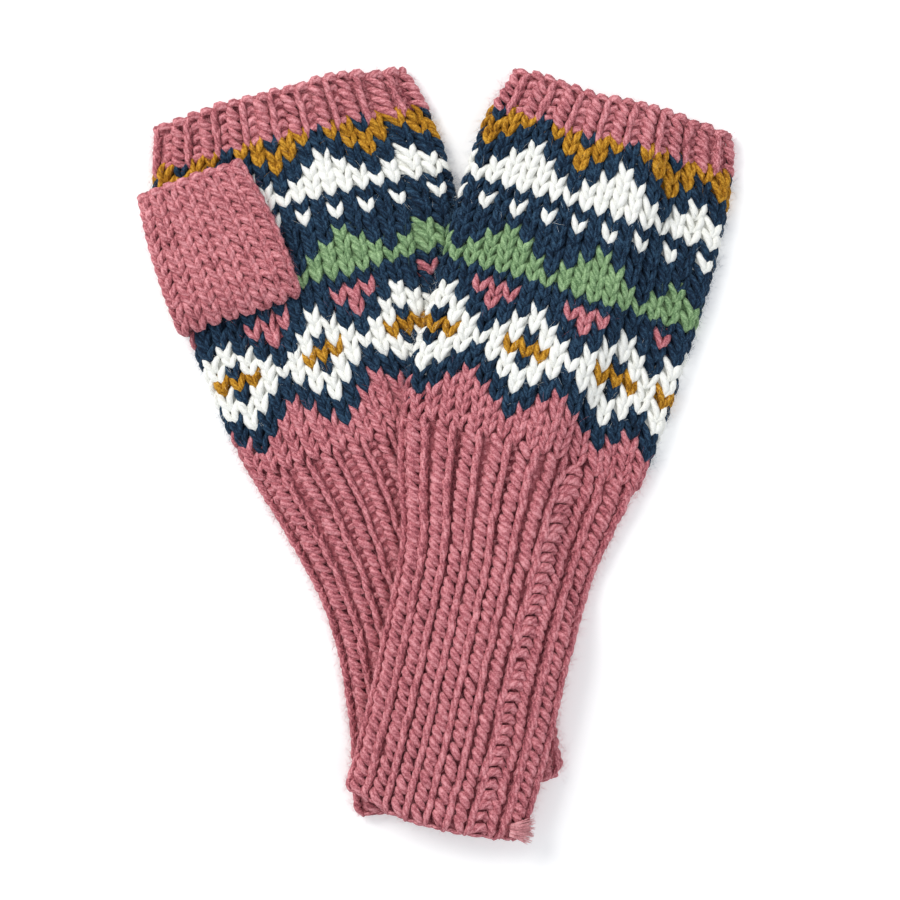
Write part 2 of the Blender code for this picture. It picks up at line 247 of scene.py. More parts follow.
def lay_out(tube, down, across):
    """Plan position `down` the tube and `across` its row: a tilted line bowed by a parabola."""
    row = (smooth(down, tube["down"], tube[name]) for name in OUTLINE_COLUMNS[1:])
    mid_x, mid_y, width, tilt, bow = row
    tilt = np.radians(tilt)
    rise = bow * (1 - (2 * across / width) ** 2)
    x = mid_x + across * np.cos(tilt) - rise * np.sin(tilt)
    y = mid_y + across * np.sin(tilt) + rise * np.cos(tilt)
    for tug_x, tug_y, push_x, push_y, radius in tube["tugs"]:
        pull = np.exp(-((x - tug_x) ** 2 + (y - tug_y) ** 2) / radius**2)
        x, y = x + push_x * pull, y + push_y * pull
    return x - CENTRE[0], y - CENTRE[1]


def width_at(tube, down):
    """The tube's width from fold to fold, read smoothly from its table."""
    return smooth(down, tube["down"], tube["width"])


def racetrack(width, height, turn):
    """A flattened ring, two straight runs joined by half circles, as x from the middle and z from below.

    turn goes once round as 0 to 1, from the left fold over the top to the right fold and back.
    """
    radius = np.maximum(height / 2, SMALLEST_RADIUS)
    straight = width - 2 * radius
    bend = np.pi * radius
    total = 2 * (straight + bend)
    along = np.mod(np.mod(turn, 1.0) * total + bend / 2, total)
    runs = [along < bend, along < bend + straight, along < 2 * bend + straight]
    quarter = np.pi / 2
    angles = [-quarter - along / radius, quarter, quarter - (along - bend - straight) / radius]
    angle = np.select(runs, angles, -quarter)
    middles = [-straight / 2, along - bend - straight / 2, straight / 2]
    middle = np.select(runs, middles, 2 * bend + 1.5 * straight - along)
    return middle + radius * np.cos(angle), radius + radius * np.sin(angle)


def footprint(tube, steps=40):
    """A whole tube's outline in plan, as a polygon."""
    downs = np.linspace(0, tube["down"][-1], steps)
    half = width_at(tube, downs) / 2
    left = np.stack(lay_out(tube, downs, -half), axis=-1)
    right = np.stack(lay_out(tube, downs, half), axis=-1)
    return np.concatenate([left, right[::-1]])


def distance_outside(x, y, polygon):
    """Distance from each plan point to a polygon, zero inside it."""
    edge = np.roll(polygon, -1, axis=0) - polygon
    dx, dy = x[..., None] - polygon[:, 0], y[..., None] - polygon[:, 1]
    t = np.clip((dx * edge[:, 0] + dy * edge[:, 1]) / (edge**2).sum(axis=1), 0, 1)
    nearest = np.hypot(dx - t * edge[:, 0], dy - t * edge[:, 1]).min(axis=-1)
    end_y = polygon[:, 1] + edge[:, 1]
    straddles = (polygon[:, 1] > y[..., None]) != (end_y > y[..., None])
    crosses = dx < edge[:, 0] * dy / np.where(edge[:, 1] == 0, 1e-9, edge[:, 1])
    inside = (straddles & crosses).sum(axis=-1) % 2 == 1
    return np.where(inside, 0.0, nearest)


def drape(x, y, beneath):
    """How far the upper warmer is lifted: LIFT over what lies beneath, easing to nothing beyond it."""
    if not beneath:
        return 0 * x
    away = np.min([distance_outside(x, y, polygon) for polygon in beneath], axis=0)
    run = np.clip((away - OVERHANG) / DRAPE, 0, 1)
    return LIFT * (1 + np.cos(np.pi * run)) / 2


def on_tube(tube, down, turn, out):
    """A point on the laid tube, `out` mm from its outer face: a racetrack ring along the row, draped."""
    length = tube["down"][-1]
    down = np.clip(down, -OVERRUN, length + OVERRUN)
    top, bottom = tube["mouths"]
    height = LAID + top * np.exp(-((down / MOUTH_REACH) ** 2))
    height = height + bottom * np.exp(-(((length - down) / MOUTH_REACH) ** 2))
    width = width_at(tube, down) - ROUNDED * np.exp(-(((length - down) / ROUNDED_REACH) ** 2))
    across, z = racetrack(width + 2 * out, height + 2 * out, turn)
    x, y = lay_out(tube, down, across)
    return np.stack([x, y, z - out + drape(x, y, tube["beneath"])], axis=-1)


def column_turn(tube, down, column):
    """Where a column lies round the tube: the hand's place, blended by a smooth step into the cuff's."""
    base = tube["first"]
    whole = np.floor((column - base) / STITCHES)
    c = column - whole * STITCHES
    hand = np.interp(c, *tube["hand_columns"])
    cuff = np.interp(c, *tube["cuff_columns"])
    start, length = tube["drawn_in"]
    share = np.clip((down - BAND - HAND - start) / length, 0, 1)
    share = share * share * (3 - 2 * share)
    return whole + hand + (cuff - hand) * share


# ---- The wool ----
# A soft chunky yarn of two loosely twisted plies. Its fibres run along the ply,
# stand out as a faint halo, and catch the light along each stitch.

YARN = {
    "rose": ((0.84, 0.375, 0.405), (0.50, 0.142, 0.168), (0.13, 0.018, 0.03)),
    "pale_rose": ((0.87, 0.395, 0.425), (0.505, 0.150, 0.172), (0.14, 0.022, 0.034)),
    "navy": ((0.036, 0.088, 0.155), (0.0045, 0.0185, 0.045), (0.001, 0.004, 0.011)),
    # A lighter navy for the loose fibres: painted light.
    "navy_painted_light": ((0.11, 0.20, 0.30), (0.035, 0.085, 0.15), (0.01, 0.03, 0.06)),
    "white": ((0.99, 0.99, 0.96), (0.95, 0.95, 0.90), (0.74, 0.74, 0.68)),
    "green": ((0.40, 0.575, 0.31), (0.19, 0.32, 0.15), (0.05, 0.115, 0.05)),
    "gold": ((0.78, 0.42, 0.05), (0.39, 0.168, 0.008), (0.10, 0.032, 0.003)),
    # A lighter rose for the frayed tail: painted light against the shade it lies in.
    "tail_rose_painted_light": ((0.95, 0.52, 0.54), (0.74, 0.30, 0.32), (0.30, 0.07, 0.09)),
    # A darker rose for the cloth in the cuffs' grooves: painted shade.
    "rose_painted_shade": ((0.54, 0.175, 0.20), (0.345, 0.084, 0.102), (0.10, 0.016, 0.025)),
}
YARN_NAMES = tuple(YARN)
YARN_ROUND = 8.2
TWIST = 0.52
PLY = 1.5
WAVE_SPACING = 0.314
PLY_RELIEF = 0.08
STREAK_RELIEF = 0.36
HAIR_RELIEF = 0.38
DRIFT_SHADE = 0.41
# How far a cosine round the yarn paints its top lighter and its underside darker: painted highlight and
# shade.
CROWN_PAINTED_LIGHT = -0.055


def yarn_material(name, light, middle, deep):
    """Fibre streaks wound round the yarn, and the ridges of its two plies, under a woolly sheen.

    Both go into the bump. The colour is a ramp of the same relief, plus a slow
    drift of the dye and a cosine once round the yarn: painted highlight on its
    top and painted shade underneath.
    """
    material = bpy.data.materials.new(name)
    material.use_nodes = True
    nodes = material.node_tree.nodes
    links = material.node_tree.links
    shader = nodes["Principled BSDF"]

    def add(kind, values, **sources):
        """A new node: its inputs' values, and the sockets that others are fed from."""
        node = nodes.new("ShaderNode" + kind)
        fill(node, values)
        for name, source in sources.items():
            links.new(source, node.inputs[name])
        return node

    def noise(vector, scale, detail, roughness):
        """A noise texture over the given coordinates."""
        values = {"Scale": scale, "Detail": detail, "Roughness": roughness}
        return add("TexNoise", values, Vector=vector).outputs["Fac"]

    def weigh(amount, value, plus=None):
        """amount times value, plus another value where one is given."""
        node = add("Math", {})
        node.operation = "MULTIPLY_ADD"
        node.inputs[1].default_value = amount
        node.inputs[2].default_value = 0.0
        links.new(value, node.inputs[0])
        if plus is not None:
            links.new(plus, node.inputs[2])
        return node.outputs["Value"]

    # The yarn map runs once round the yarn in U and in millimetres along it in V.
    # Turned by the twist's angle, its first axis crosses the fibres.
    uv = add("UVMap", {})
    uv.uv_map = "yarn"
    turned = {"Scale": (YARN_ROUND, 1.0, 1.0), "Rotation": (0.0, 0.0, TWIST)}
    wound = add("Mapping", turned, Vector=uv.outputs["UV"]).outputs["Vector"]
    drawn = add("Mapping", {"Scale": (2.6, 1.15, 1.0)}, Vector=wound).outputs["Vector"]
    streaks = noise(drawn, 1.0, 4.0, 0.7)
    waves = {"Scale": WAVE_SPACING / PLY, "Distortion": 1.6, "Detail": 2.0, "Detail Scale": 1.5}
    plies = add("TexWave", waves, Vector=wound)
    plies.wave_type = "BANDS"
    plies.bands_direction = "X"

    # The dye drifts slowly over a few stitches. Short crossing fibres, finer than
    # a streak, roughen both the colour and the relief.
    place = add("TexCoord", {}).outputs["Object"]
    drift = noise(place, 260.0, 4.0, 0.75)
    hair = noise(place, 2600.0, 2.0, 0.6)
    relief = weigh(HAIR_RELIEF, hair)
    relief = weigh(STREAK_RELIEF, streaks, relief)
    relief = weigh(PLY_RELIEF, plies.outputs["Fac"], relief)

    # The top of the yarn is painted lighter and its underside darker by a cosine once round it: painted
    # highlight and painted shade.
    across = add("SeparateXYZ", {}, Vector=uv.outputs["UV"])
    painted_crown = add("Math", {})
    painted_crown.operation = "COSINE"
    links.new(weigh(2 * np.pi, across.outputs["X"]), painted_crown.inputs[0])
    shade = weigh(CROWN_PAINTED_LIGHT, painted_crown.outputs["Value"], weigh(DRIFT_SHADE, drift, relief))
    ramp = add("ValToRGB", {}, Fac=shade)
    stops = ramp.color_ramp.elements
    stops[0].position, stops[0].color = 0.50, (*deep, 1)
    stops[1].position, stops[1].color = 0.77, (*light, 1)
    stops.new(0.635).color = (*middle, 1)
    links.new(ramp.outputs["Color"], shader.inputs["Base Color"])

    bump = add("Bump", {"Strength": 0.8, "Distance": 0.0006}, Height=relief)
    links.new(bump.outputs["Normal"], shader.inputs["Normal"])
    fill(shader, {"Roughness": 0.88, "Specular IOR Level": 0.22})
    sheen_tint = (*(0.05 + 0.95 * np.array(light)), 1)
    fill(shader, {"Sheen Weight": 0.30, "Sheen Roughness": 0.45, "Sheen Tint": sheen_tint})
    return material


yarns = [yarn_material(name, *YARN[name]) for name in YARN_NAMES]
colour_of = {name: i for i, name in enumerate(YARN_NAMES)}


FLOOR_GAP = 0.05


def make_piece(name, batch):
    """One object from points in mm and groups of faces.

    Each group has a yarn map for each corner and a yarn for each face. Nothing
    sinks into the floor: lower points are raised to FLOOR_GAP.
    """
    points, groups = batch
    points = points.copy()
    points[:, 2] = np.maximum(points[:, 2], FLOOR_GAP)
    mesh = bpy.data.meshes.new(name)
    corners = np.concatenate([faces.ravel() for faces, _, _ in groups])
    sizes = np.concatenate([np.full(len(faces), faces.shape[1]) for faces, _, _ in groups])
    mesh.vertices.add(len(points))
    mesh.vertices.foreach_set("co", (points * MM).astype(np.float32).ravel())
    mesh.loops.add(len(corners))
    mesh.loops.foreach_set("vertex_index", corners.astype(np.int32))
    mesh.polygons.add(len(sizes))
    mesh.polygons.foreach_set("loop_start", (np.cumsum(sizes) - sizes).astype(np.int32))
    mesh.update(calc_edges=True)
    for yarn in yarns:
        mesh.materials.append(yarn)
    colours = np.concatenate([colours for _, _, colours in groups])
    mesh.polygons.foreach_set("material_index", colours.astype(np.int32))
    mesh.polygons.foreach_set("use_smooth", np.ones(len(sizes), bool))
    uv = np.concatenate([uv.reshape(-1, 2) for _, uv, _ in groups])
    mesh.uv_layers.new(name="yarn").data.foreach_set("uv", uv.astype(np.float32).ravel())
    mesh.update()
    piece = add_object(name, mesh)
    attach(piece, "root")
    return piece


def join(batches):
    """Puts several batches of points and faces into one."""
    shifts = np.cumsum([0] + [len(points) for points, _ in batches])
    groups = [
        (faces + shift, uv, colours)
        for shift, (_, parts) in zip(shifts, batches)
        for faces, uv, colours in parts
    ]
    return np.concatenate([points for points, _ in batches]), groups


def unit(vectors):
    """The same vectors, one unit long."""
    return vectors / np.linalg.norm(vectors, axis=-1, keepdims=True)


# A short way out of the cloth, which finds its outward direction.
PROBE = 0.4


def with_outward(surface, along, turn, out):
    """Points on surface(along, turn, out), and the cloth's outward direction at each."""
    points = surface(along, turn, out)
    return points, unit(surface(along, turn, out + PROBE) - points)


# Each yarn length starts this much further on in the wool's pattern, in mm.
PATTERN_STEP = 7.31
PATTERN_SPAN = 97


def sweep(paths, outward, wide, deep, sides, colours):
    """Closed yarn lengths: an ellipse carried along each path, flat to the cloth, and capped at both ends.

    paths and outward are (n, m, 3); wide and deep, (n, m), are the yarn's half
    sizes along the cloth and out of it; colours (n,) gives each length its yarn.
    """
    n, m = paths.shape[:2]
    tangent = unit(np.gradient(paths, axis=1))
    side = unit(np.cross(tangent, outward))
    up = np.cross(side, tangent)
    # The first corner is underneath, where the yarn map's own seam is hidden.
    angle = np.arange(sides) * 2 * np.pi / sides - np.pi / 2
    ring = (
        wide[..., None, None] * np.cos(angle)[:, None] * side[..., None, :]
        + deep[..., None, None] * np.sin(angle)[:, None] * up[..., None, :]
    )
    points = (paths[..., None, :] + ring).reshape(-1, 3)
    index = np.arange(n * m * sides).reshape(n, m, sides)
    after = np.roll(index, -1, axis=2)
    quads = np.stack([index[:, :-1], after[:, :-1], after[:, 1:], index[:, 1:]], axis=-1)
    caps = np.concatenate([index[:, 0, ::-1], index[:, -1, :]])
    steps = np.linalg.norm(np.diff(paths, axis=1), axis=-1)
    along = np.concatenate([np.zeros((n, 1)), np.cumsum(steps, axis=1)], axis=1)
    along = along + (np.arange(n) * PATTERN_STEP % PATTERN_SPAN)[:, None]
    u = np.arange(sides) / sides
    quad_uv = np.zeros((n, m - 1, sides, 4, 2))
    quad_uv[..., ::3, 0] = u[:, None]
    quad_uv[..., 1:3, 0] = u[:, None] + 1 / sides
    quad_uv[..., :2, 1] = along[:, :-1, None, None]
    quad_uv[..., 2:, 1] = along[:, 1:, None, None]
    cap_uv = np.zeros((2 * n, sides, 2))
    cap_uv[..., 0] = u
    cap_uv[:n, :, 1] = along[:, :1]
    cap_uv[n:, :, 1] = along[:, -1:]
    return points, [
        (quads.reshape(-1, 4), quad_uv.reshape(-1, 4, 2), np.repeat(colours, (m - 1) * sides)),
        (caps, cap_uv, np.tile(colours, 2)),
    ]


# ---- How one stitch lies ----
# A knit stitch shows two plump legs that rise from a point and spread like a V.
# Their tops sink behind the stitch above. A purl stitch shows one low bump.

# Each leg: mm from its column's middle, rows up from the stitch's foot,
# mm out from the cloth's face, and thickness as a share of the yarn's.
KNIT_LEG = np.array([
    (0.06, -0.26, -2.0, 0.36),
    (0.32, -0.02, -0.85, 0.74),
    (0.86, 0.34, -0.35, 1.0),
    (1.5, 0.74, -0.45, 1.09),
    (2.08, 1.12, -1.0, 0.98),
    (2.5, 1.44, -1.85, 0.7),
    (2.7, 1.68, -2.8, 0.36),
])
# In rib the left leg is plump and slants, the right one is a slim upright cord.
RIB_LEFT_LEG = np.array([
    (0.72, -0.14, -2.2, 0.54),
    (0.24, 0.06, -0.7, 1.1),
    (-0.5, 0.32, -0.2, 1.27),
    (-1.18, 0.56, -0.12, 1.31),
    (-1.9, 0.81, -0.24, 1.27),
    (-2.52, 1.04, -0.8, 1.08),
    (-2.92, 1.23, -2.2, 0.54),
])
RIB_RIGHT_LEG = np.array([
    (2.55, -0.4, -1.6, 0.68),
    (2.6, 0.0, -0.7, 1.06),
    (2.66, 0.35, -0.22, 1.16),
    (2.7, 0.7, -0.18, 1.16),
    (2.72, 1.05, -0.42, 1.1),
    (2.74, 1.38, -1.05, 0.84),
    (2.74, 1.62, -1.8, 0.48),
])
PURL_BUMP = np.array([
    (-2.05, -0.16, -3.5, 0.6),
    (-1.6, 0.16, -2.7, 0.94),
    (-0.6, 0.48, -2.15, 1.12),
    (0.5, 0.56, -2.1, 1.12),
    (1.45, 0.3, -2.6, 0.94),
    (1.95, 0.0, -3.5, 0.6),
])
KNIT_WIDTH = 6.1
RIB_WIDTH = 4.0
YARN_WIDE = 1.30
YARN_DEEP = 1.25

# How unevenly stitches lie: as shares of a column, a row, a leg's spread and its thickness.
UNEVEN_PLACE = 0.034
UNEVEN_HEIGHT = 0.065
UNEVEN_SPREAD = 0.08
UNEVEN_THICKNESS = 0.075

# A stitch thins or thickens a little with its column's width. A stretched one
# rises once its column is SLACK mm wider than natural, up to a limit.
THINNEST, THICKEST = 0.8, 1.1
SLACK = 0.9
STRETCH_LIMIT = 1.6

# Round the folds a sunk stitch is pushed out to the outline. Underneath, past a
# short blend from the folds, all of them are pressed flat against the surface.
FOLD_BREADTH = 0.035
FOLD_PUSH = 1.2
UNDER_BLEND = 0.03
PRESSED = 0.35
FLATTENED = 0.5
FLATTENED_FROM = -1.2
PRESSED_THINNER = 0.15

# How a leg is laid. natural: the column width that it was drawn for. follow: the
# share, as a power, to which it spreads with a wider column. mirror: 1 or -1.
# sink: how far it lies deeper than drawn. lift: how far it rises for each mm
# that its column is stretched past SLACK. lean: mm to the right for each mm up.
# thick: how thick its yarn is, as a share of the drawn one.
Way = collections.namedtuple(
    "Way", "leg natural follow mirror sink lift lean thick", defaults=(1, 0.0, 0.0, 0.0, 1.0)
)

chance = np.random.default_rng(34)


def column_width(tube, down, column):
    """How wide a stitch column is at a place on the tube, in mm."""
    around = 2 * (width_at(tube, down) - LAID) + np.pi * LAID
    return around * (column_turn(tube, down, column + 0.5) - column_turn(tube, down, column - 0.5))


def lay_stitches(tube, column, foot, row_height, way, colours, sides):
    """Sweeps one leg shape at every stitch, which column and foot (n,) place.

    Each control point goes to its own place on the laid tube, so the stitch
    follows the folds, the drape and the crowding of the columns.
    """
    leg = way.leg
    place, height, plump, spread = chance.normal(0, 1, (4, len(column), 1))
    local = column_width(tube, foot, column)[:, None]
    x = way.mirror * leg[:, 0] * (local / way.natural) ** way.follow * (1 + UNEVEN_SPREAD * spread) / local
    x = x + way.lean * (leg[:, 1] - 0.5) * row_height / local + UNEVEN_PLACE * place
    down = foot[:, None] - (leg[:, 1] + UNEVEN_HEIGHT * height) * row_height
    thick = leg[:, 3] * way.thick * (1 + UNEVEN_THICKNESS * plump)
    thick = thick * np.clip(local / way.natural, THINNEST, THICKEST) ** 0.5
    turn = column_turn(tube, down, column[:, None] + x)
    round_turn = np.mod(turn, 1.0)
    under = np.clip((round_turn - 0.5) / UNDER_BLEND, 0, 1) * np.clip((1 - round_turn) / UNDER_BLEND, 0, 1)
    from_fold = np.abs(np.mod(turn + 0.25, 0.5) - 0.25)
    fold = np.exp(-((from_fold / FOLD_BREADTH) ** 2))
    stretched = np.clip(local - way.natural - SLACK, 0, STRETCH_LIMIT)
    out = leg[:, 2] - way.sink * (1 - FOLD_PUSH * fold) + way.lift * stretched
    out = out - under * (PRESSED + FLATTENED * np.maximum(out - FLATTENED_FROM, 0))
    out = out - crease(tube, down, turn)
    paths, outward = with_outward(functools.partial(on_tube, tube), down, turn, out)
    deep = YARN_DEEP * thick * (1 - PRESSED_THINNER * under)
    return sweep(paths, outward, YARN_WIDE * thick, deep, sides, colours)


# The trough where a round ends: its place and breadth in turns, and its depth.
LEFT["crease"] = (0.418, 0.014, 0.8)
RIGHT["crease"] = (0.428, 0.012, 0.9)
CREASE_FADE = 30.0
CREASE_FADED = 0.75


def crease(tube, down, turn):
    """Depth of the soft trough where each round ends: a bell across it, fading into the cuff."""
    at, breadth, depth = tube["crease"]
    fade = 1 - np.clip((down - BAND - HAND) / CREASE_FADE, 0, CREASE_FADED)
    return depth * fade * np.exp(-(((turn - at) / breadth) ** 2))


# ---- The thumbs' feet, as far as the cloth above them needs them ----
# The right warmer drapes over its own folded thumb and the left warmer's cuff.

SLOT_DOWN = (BAND + 12.4 * ROW, BAND + 14 * ROW)
LEFT_SLOT = (0, 6)
RIGHT_SLOT = (2, 8)
FOLD_TURN = 0.026
HAND_ACROSS = 15
RIGHT_TILT = -16.3
THUMB_LENGTH = 50.0
THUMB_TAPER = 3.0
BRIDGE_DOWN = np.array([165.0, 190.0])
BRIDGE_INSET = 5.0


def thumb_foot(tube, steps):
    """Plan middle of the thumb's back edge, one wall above the slit's upper lip, and its width there.

    steps: where the slit starts and ends, in HAND_ACROSS equal turns over the
    hand's top face from its left fold.
    """
    turns = FOLD_TURN + np.array(steps) * (0.5 - 2 * FOLD_TURN) / HAND_ACROSS
    (start, end), _ = racetrack(width_at(tube, SLOT_DOWN[0]), LAID, turns)
    x, y = lay_out(tube, SLOT_DOWN[0] - WALL, (start + end) / 2)
    return np.array([float(x), float(y)]), end - start + 2 * WALL


right_foot, right_foot_width = thumb_foot(RIGHT, RIGHT_SLOT)
right_tip_width = right_foot_width - THUMB_TAPER
right_angle = np.radians(RIGHT_TILT)
right_up = np.array([-np.sin(right_angle), np.cos(right_angle)])
right_side = np.array([np.cos(right_angle), np.sin(right_angle)])
right_tip = right_foot + THUMB_LENGTH * right_up

# The cloth spans the gap from the folded thumb to the left cuff like a bridge.
bridge_edge = width_at(LEFT, BRIDGE_DOWN) / 2 - BRIDGE_INSET
bridge = np.stack(lay_out(LEFT, BRIDGE_DOWN, bridge_edge), axis=-1)
LEFT["beneath"] = []
half_foot, half_tip = (right_side * width / 2 for width in (right_foot_width, right_tip_width))
folded = [right_foot - half_foot, right_tip - half_tip, right_tip + half_tip, right_foot + half_foot]
RIGHT["beneath"] = [footprint(LEFT), np.array([*folded, *bridge])]


def stitch_grid(tube, top, rows, pitch):
    """Every column beside every row below `top`: flat arrays of column, row number and the row's foot."""
    column, row = np.meshgrid(np.arange(STITCHES), np.arange(rows), indexing="ij")
    return column.ravel() + tube["first"], row.ravel(), top + (row.ravel() + 1) * pitch


# Seen stitches, on top and round the folds, get every point and more sides.
SEEN_TO, SEEN_FROM = 0.53, 0.97
FINE_SIDES, COARSE_SIDES = 7, 5
COARSE_POINTS = [0, 2, 3, -1]


def lay_both(tube, column, foot, row_height, way, colours):
    """Lays a leg at each stitch, finely on top and on the folds and coarsely beneath."""
    turn = np.mod(column_turn(tube, foot, column + 0.5), 1.0)
    seen = (turn < SEEN_TO) | (turn > SEEN_FROM)
    coarse = way._replace(leg=way.leg[COARSE_POINTS])
    return [
        lay_stitches(tube, column[chosen] + 0.5, foot[chosen], row_height, shape, colours[chosen], sides)
        for chosen, shape, sides in ((seen, way, FINE_SIDES), (~seen, coarse, COARSE_SIDES))
        if chosen.any()
    ]


def lay_edge(tube, foot, row_height, leg, natural, yarn):
    """One loop for each column along a tube's edge, cast on or cast off."""
    column = np.arange(STITCHES) + tube["first"]
    colours = np.full(STITCHES, colour_of[yarn])
    return lay_both(tube, column, np.full(STITCHES, foot), row_height, Way(leg, natural, 1.0), colours)


# ---- The colourwork hand ----
# Stranded knitting in five colours, 24 rows deep: a small repeat of six stitches,
# ordinary peaks, seeds, hearts and diamonds, charted here a row at a time.

CHART = (
    "nmmnmm",
    "mmnnnm",
    "mnnwnn",
    "nnwwwn",
    "nwwwww",
    "wwwwww",
    "nnnnnn",
    "nwnwnw",
    "nnnnnn",
    "nnngnn",
    "nngggn",
    "nggggg",
    "gggggg",
    "nnnnnn",
    "nnpppn",
    "wnnpnn",
    "wwnnnw",
    "nwwnww",
    "mmwwwm",
    "nwwnww",
    "wwnnnw",
    "wnnpnn",
    "nnpppn",
    "nppppp",
)
LETTER = {"n": "navy", "m": "gold", "w": "white", "g": "green", "p": "rose"}
CHART_COLOURS = np.array([[colour_of[LETTER[letter]] for letter in row] for row in CHART])
# One short repeat, of four stitches, fills the round out to 34.
ROUND = np.array([0, 1, 2, 3, 4, 5] * 2 + [0, 1, 2, 5] + [0, 1, 2, 3, 4, 5] * 3)


# The cloth behind the stitches: the depths of its two skins below the tube's
# face, and how many mm of yarn pattern one of its cells takes.
SKIN_DEPTHS = (-1.75, -2.85)
UNDER_DEPTH = 0.3
CELLS_ROUND_YARN = 8
RING_GRAIN = 4.0
SEAM = 0.15


def chart_colour(tube, column, row):
    """The yarn of a stitch: its row of the chart, and its place in the repeat."""
    row = np.clip(row, 0, len(CHART) - 1)
    return CHART_COLOURS[row, ROUND[np.mod(column - tube["first"], STITCHES)]]


def one_yarn(name):
    """A colour rule for plain cloth: the same yarn in every cell."""
    return lambda column, row: np.full(len(column), colour_of[name])


def nested_quads(n, m):
    """The faces of two nested tubes of n rings of m points, joined at both ends."""
    index = np.arange(n * m).reshape(n, m)
    after = np.roll(index, -1, axis=1)
    outer = np.stack([index[:-1], index[1:], after[1:], after[:-1]], axis=-1).reshape(-1, 4)
    inner = outer[:, [0, 3, 2, 1]] + n * m
    first = np.stack([index[0], after[0], after[0] + n * m, index[0] + n * m], axis=-1)
    last = np.stack([index[-1], index[-1] + n * m, after[-1] + n * m, after[-1]], axis=-1)
    return np.concatenate([outer, inner, first, last])


def make_shell(name, skins, quads, colours):
    """A piece from an outer and an inner skin, with the yarn's map running on from ring to ring."""
    points = np.concatenate([skin.reshape(-1, 3) for skin in skins])
    m = skins[0].shape[1]
    uv = np.stack([(quads % m) / CELLS_ROUND_YARN, (quads // m) * RING_GRAIN], axis=-1)
    return make_piece(name, (points, [(quads, uv, colours)]))


def knit_shell(name, tube, first, last, rows, colour_at):
    """The cloth behind the stitches: a ring of the laid tube at each row, two points to a stitch."""
    downs = np.linspace(first, last, rows + 1)
    columns = np.arange(2 * STITCHES) / 2 + tube["first"]
    down, column = np.meshgrid(downs, columns, indexing="ij")
    turn = column_turn(tube, down, column)
    under = (np.mod(turn, 1.0) > 0.5).astype(float)
    trough = crease(tube, down, turn)
    skins = [
        on_tube(tube, down, turn, depth - UNDER_DEPTH * under - trough * (depth == SKIN_DEPTHS[0]))
        for depth in SKIN_DEPTHS
    ]
    n, m = down.shape
    row, cell = np.meshgrid(np.arange(n - 1), np.arange(m), indexing="ij")
    colours = colour_at((cell // 2 + tube["first"]).ravel(), row.ravel())
    colours = np.concatenate([colours, colours, colours[:m], colours[-m:]])
    return make_shell(name, skins, nested_quads(n, m), colours)


def declare(node):
    """Hides the node of model.glb that a shell stands for."""
    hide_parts(node)


for side, tube in TUBES:
    column, row, foot = stitch_grid(tube, BAND, len(CHART), ROW)
    colours = chart_colour(tube, column, row)
    parts = []
    for mirror in (1, -1):
        way = Way(KNIT_LEG, KNIT_WIDTH, 1.0, mirror, lean=tube["lean"])
        parts += lay_both(tube, column, foot, ROW, way, colours)
    stitches = make_piece(f"{side}_hand_stitches", join(parts))
    charted = functools.partial(chart_colour, tube)
    top, bottom = BAND + SEAM, BAND + HAND
    shell = knit_shell(f"{side}_hand_cloth", tube, top, bottom, len(CHART), charted)
    declare(f"{side}_hand")

# ---- The ribbed cuff ----
# Two plain rows below the hand, then one knit and one purl turn about to the
# wrist. The ribs draw in, so the purls sink into dark grooves between them.

PLAIN_ROWS = 2
CUFF_ROWS = 37
CAST_ON_DEPTH = 1.9
CAST_ON_FOOT = 0.9
CAST_ON_HEIGHT = 3.0
CLOTH_SHORT = 0.4
RIB_FOLLOW = 0.25
RIB_LIFT = -0.1
PURL_LIFT = 0.6
# The columns of the right cuff where its rounds end: a stretched purl that
# stands up in knots, the knit column beside it, slack and sunk, and the next.
KNOTTED, LOST, LAST = 11, 12, 14
KNOT_SIZE = 1.32
KNOT_FOLLOW = 0.85
KNOT_RISE = 1.4
LOST_FOLLOW = 0.3
LOST_RISE = 1.0
LAST_SINK = 1.1
SUNK_LEG = np.array([
    (-0.8, -0.2, -2.9, 0.6),
    (-1.05, 0.06, -2.3, 1.05),
    (-1.45, 0.4, -2.0, 1.25),
    (-1.85, 0.7, -2.05, 1.25),
    (-2.2, 1.0, -2.4, 1.05),
    (-2.45, 1.24, -2.9, 0.7),
    (-2.5, 1.4, -3.3, 0.5),
])
CAST_ON = np.array([
    (-2.4, 0.16, -2.3, 0.4),
    (-1.5, 0.06, -1.7, 0.56),
    (-0.5, 0.0, -1.45, 0.6),
    (0.5, 0.0, -1.45, 0.6),
    (1.5, 0.06, -1.7, 0.56),
    (2.4, 0.16, -2.3, 0.4),
])


